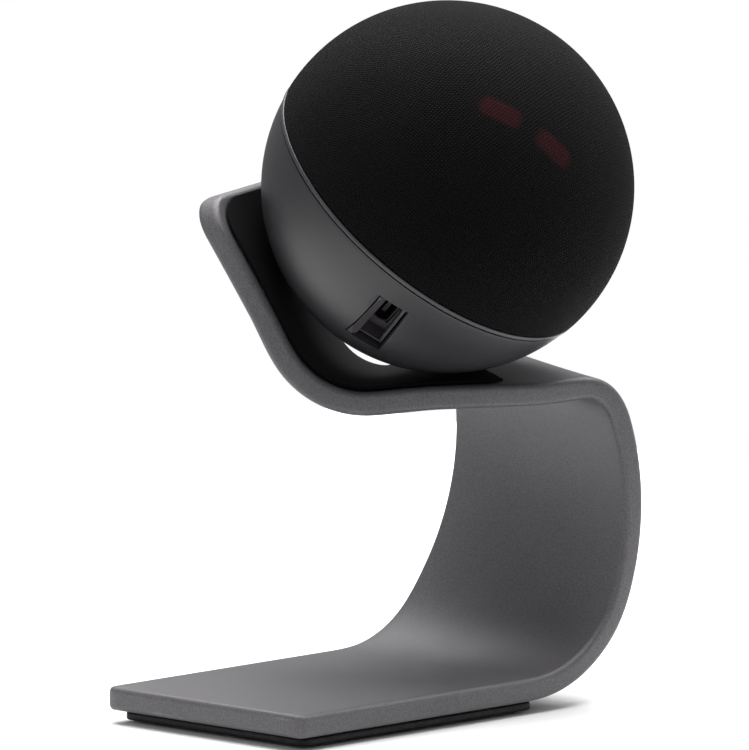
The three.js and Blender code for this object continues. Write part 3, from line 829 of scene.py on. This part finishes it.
shell = makeObject("shell_bowl", shellMesh(ball), finishes["shell"], 35)
cutter = nicheCutter(niche)
cut = shell.modifiers.new("niche", "BOOLEAN")
cut.operation, cut.object, cut.solver = "DIFFERENCE", cutter, "EXACT"
applied(shell)
bpy.data.objects.remove(cutter)
soften = shell.modifiers.new("edges", "BEVEL")
soften.width, soften.segments, soften.limit_method = niche["edge"], 3, "ANGLE"
soften.angle_limit = math.radians(40)
applied(shell)
shell.data.shade_smooth()
shell.data.set_sharp_from_angle(angle=math.radians(50))
shell.data.transform(ballPlace)
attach(shell, "ball")
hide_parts("rear_shell")
print("shell made:", len(shell.data.polygons), "faces")


# lip ring round the seam, a rounded section run along a circle by Geometry Nodes

def lipTree():
    tree, entry = startTree("seamLip", [
        ("Ring Radius", "Float"),
        ("Width", "Float"),
        ("Height", "Float"),
        ("Edge", "Float"),
        ("Segments", "Int"),
    ])
    circle = tree.nodes.new("GeometryNodeCurvePrimitiveCircle")
    section = tree.nodes.new("GeometryNodeCurvePrimitiveQuadrilateral")
    fillet = tree.nodes.new("GeometryNodeFilletCurve")
    fillet.mode = "POLY"
    fillet.inputs["Count"].default_value = 4
    sweep = tree.nodes.new("GeometryNodeCurveToMesh")
    link = tree.links.new
    link(entry.outputs["Ring Radius"], circle.inputs["Radius"])
    link(entry.outputs["Segments"], circle.inputs["Resolution"])
    link(entry.outputs["Width"], section.inputs["Width"])
    link(entry.outputs["Height"], section.inputs["Height"])
    link(section.outputs["Curve"], fillet.inputs["Curve"])
    link(entry.outputs["Edge"], fillet.inputs["Radius"])
    link(circle.outputs["Curve"], sweep.inputs["Curve"])
    link(fillet.outputs["Curve"], sweep.inputs["Profile Curve"])
    endTree(tree, entry, sweep.outputs["Mesh"])
    return tree


lipStyle = {"proud": 0.0001, "edge": 0.0002, "segments": 192}
lipOuter = math.sqrt(ball["radius"] ** 2 - ball["seam"] ** 2) + lipStyle["proud"]
lip = bpy.data.objects.new("seam_lip", bpy.data.meshes.new("seam_lip"))
bpy.context.collection.objects.link(lip)
runTree(lip, lipTree(), {
    "Ring Radius": lipOuter - ball["trimWidth"] / 2,
    "Width": ball["trimWidth"],
    "Height": ball["trimHeight"],
    "Edge": lipStyle["edge"],
    "Segments": lipStyle["segments"],
    "Finish": finishes["lip"],
})
lip.data.transform(ballPlace @ Matrix.Translation((0, 0, ball["seam"] - ball["trimHeight"] / 2)))
lip.data.shade_smooth()
lip.data.set_sharp_from_angle(angle=math.radians(50))
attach(lip, "ball")
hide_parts("trim_ring")
print("lip run round:", len(lip.data.polygons), "faces")


# knitted cover, stretched over the dome, with its edge rolled in at the seam

def knitMesh(spec):
    outer = spec["radius"] + spec["swell"]
    inner = outer - spec["knitThickness"]
    edge = spec["seam"] + spec["gap"]
    roll = spec["knitThickness"] / 2
    last = polarAt(outer, edge + roll)
    outerArc = arcPoints(outer, 0, last, 90)
    rim = []
    middle = Vector(((outer + inner) / 2 * math.sin(math.radians(last)), edge + roll))
    for k in range(1, 8):
        a = -math.pi * k / 8
        rim.append((middle.x + roll * math.cos(a), middle.y + roll * math.sin(a)))
    innerArc = arcPoints(inner, last, 0, 30)
    return latheMesh(outerArc + rim + innerArc, 192)


def addPolarMap(mesh, name="UVMap"):
    # distance from the front pole along the surface, and direction about it, in metres
    layer = mesh.uv_layers.new(name=name)
    for loop in mesh.loops:
        p = mesh.vertices[loop.vertex_index].co
        polar = math.atan2(math.hypot(p.x, p.y), p.z)
        direction = math.atan2(p.y, p.x)
        reach = polar * ball["radius"]
        layer.data[loop.index].uv = (reach * math.cos(direction), reach * math.sin(direction))


knit = makeObject("knit_cover", knitMesh(ball), finishes["knit"], 60)
addPolarMap(knit.data)
knit.data.transform(ballPlace)
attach(knit, "ball")
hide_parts("fabric_cover")
print("knit cover made:", len(knit.data.polygons), "faces")


# CAD nodes that keep their shape get their finishes

carried = {
    "port_niche": "niche",
    "cord_receptacle": "blacked",
    "receptacle_tongue": "chip",
    "grille_dome": "dome",
    "chassis": "chassis",
    "main_board": "board",
    "front_board": "board",
    "light_bar_left": "light",
    "light_bar_right": "light",
    "codec_chip": "chip",
    "power_chip": "chip",
    "capsule_mount": "rubber",
    "capsule_body": "brass",
    "capsule_backplate": "brass",
    "capsule_membrane": "membrane",
    "capsule_clamp": "brass",
}
for nodeName, node in frame["nodes"].items():
    finish = "steel" if "screw" in nodeName else carried.get(nodeName)
    if finish:
        node.data.materials.clear()
        node.data.materials.append(finishes[finish])
print("carried nodes finished")


# floor, light and camera

studio = {
    "floorSize": 0.5,
    "floorDrop": 0.0002,
    "floorDark": (0.86, 0.86, 0.86),
    "floorLight": (0.88, 0.88, 0.88),
    "world": (0.93, 0.94, 0.96),
    "worldStrength": 0.4,
    "middle": (0, 0, 0.06),
    "lights": [  # name, how far right, up and back of the middle, size, watts
        ("overhead", 0.05, 0.55, -0.1, (0.7, 0.7), 11.5),
        ("backRight", 0.6, 0.25, -0.25, (0.4, 0.6), 0.6),
        ("frontLeft", -0.6, 0.15, 0.35, (0.4, 0.6), 0.7),
    ],
}


def makeFloor(spec):
    half = spec["floorSize"] / 2
    bm = bmesh.new()
    corners = ((-half, -half), (half, -half), (half, half), (-half, half))
    bm.faces.new([bm.verts.new((x, y, -spec["floorDrop"])) for x, y in corners])
    material, tree, shader, place = startMaterial("floorFinish")
    cloud = rangeNode(tree, noiseNode(tree, place.outputs["Object"], 3.0, 2), 0.3, 0.7)
    colour = mixColours(tree, cloud, spec["floorDark"], spec["floorLight"])
    tree.links.new(colour, shader.inputs["Base Color"])
    shader.inputs["Roughness"].default_value = 0.8
    shader.inputs["Specular IOR Level"].default_value = 0.2
    floor = makeObject("floor", bm, material)


def areaLight(name, place, aim, size, power):
    data = bpy.data.lights.new(name, "AREA")
    data.shape = "RECTANGLE"
    data.size, data.size_y = size
    data.energy = power
    light = bpy.data.objects.new(name, data)
    light.location = place
    light.rotation_mode = "QUATERNION"
    light.rotation_quaternion = (Vector(aim) - Vector(place)).to_track_quat("-Z", "Y")
    bpy.context.collection.objects.link(light)


def viewAxes(azimuth, elevation):
    a, e = math.radians(azimuth), math.radians(elevation)
    back = Vector((math.sin(a) * math.cos(e), -math.cos(a) * math.cos(e), math.sin(e)))
    right = Vector((math.cos(a), math.sin(a), 0))
    return back, right, back.cross(right)


makeFloor(studio)
world = bpy.data.worlds.new("studioWorld")
world.use_nodes = True
worldTree = world.node_tree
ambient = worldTree.nodes["Background"]
ambient.inputs["Color"].default_value = (*studio["world"], 1)
ambient.inputs["Strength"].default_value = studio["worldStrength"]
backdrop = worldTree.nodes.new("ShaderNodeBackground")
backdrop.inputs["Color"].default_value = (1, 1, 1, 1)
rays = worldTree.nodes.new("ShaderNodeLightPath")
blend = worldTree.nodes.new("ShaderNodeMixShader")
worldTree.links.new(rays.outputs["Is Camera Ray"], blend.inputs[0])
worldTree.links.new(ambient.outputs[0], blend.inputs[1])
worldTree.links.new(backdrop.outputs[0], blend.inputs[2])
worldTree.links.new(blend.outputs[0], worldTree.nodes["World Output"].inputs["Surface"])
bpy.context.scene.world = world

camera = {
    "azimuth": -45.8,
    "elevation": 8.6,
    "lens": 1500.0,
    "sensor": 36.0,
    "fieldWidth": 0.13257,
    "aimRight": 0.0477,  # from the foot's left corner
    "aimUp": 0.0550,
}
back, right, up = viewAxes(camera["azimuth"], camera["elevation"])
footCorner = Vector((strapStart.x, strapStart.y + strap["width"] / 2, strapStart.z + strap["thickness"]))
aim = footCorner + right * camera["aimRight"] + up * camera["aimUp"]
cameraData = bpy.data.cameras.new("camera")
cameraData.lens, cameraData.sensor_width = camera["lens"], camera["sensor"]
distance = camera["fieldWidth"] * camera["lens"] / camera["sensor"]
cameraData.clip_start, cameraData.clip_end = 0.1, 50
cameraObject = bpy.data.objects.new("camera", cameraData)
cameraObject.location = aim + back * distance
cameraObject.rotation_mode = "QUATERNION"
cameraObject.rotation_quaternion = (-back).to_track_quat("-Z", "Y")
bpy.context.collection.objects.link(cameraObject)
bpy.context.scene.camera = cameraObject

middle = Vector(studio["middle"])
for lightName, toRight, toUp, toBack, size, power in studio["lights"]:
    areaLight(lightName, middle + right * toRight + up * toUp + back * toBack, middle, size, power)
bpy.context.scene.view_settings.view_transform = "Standard"
print("studio set")
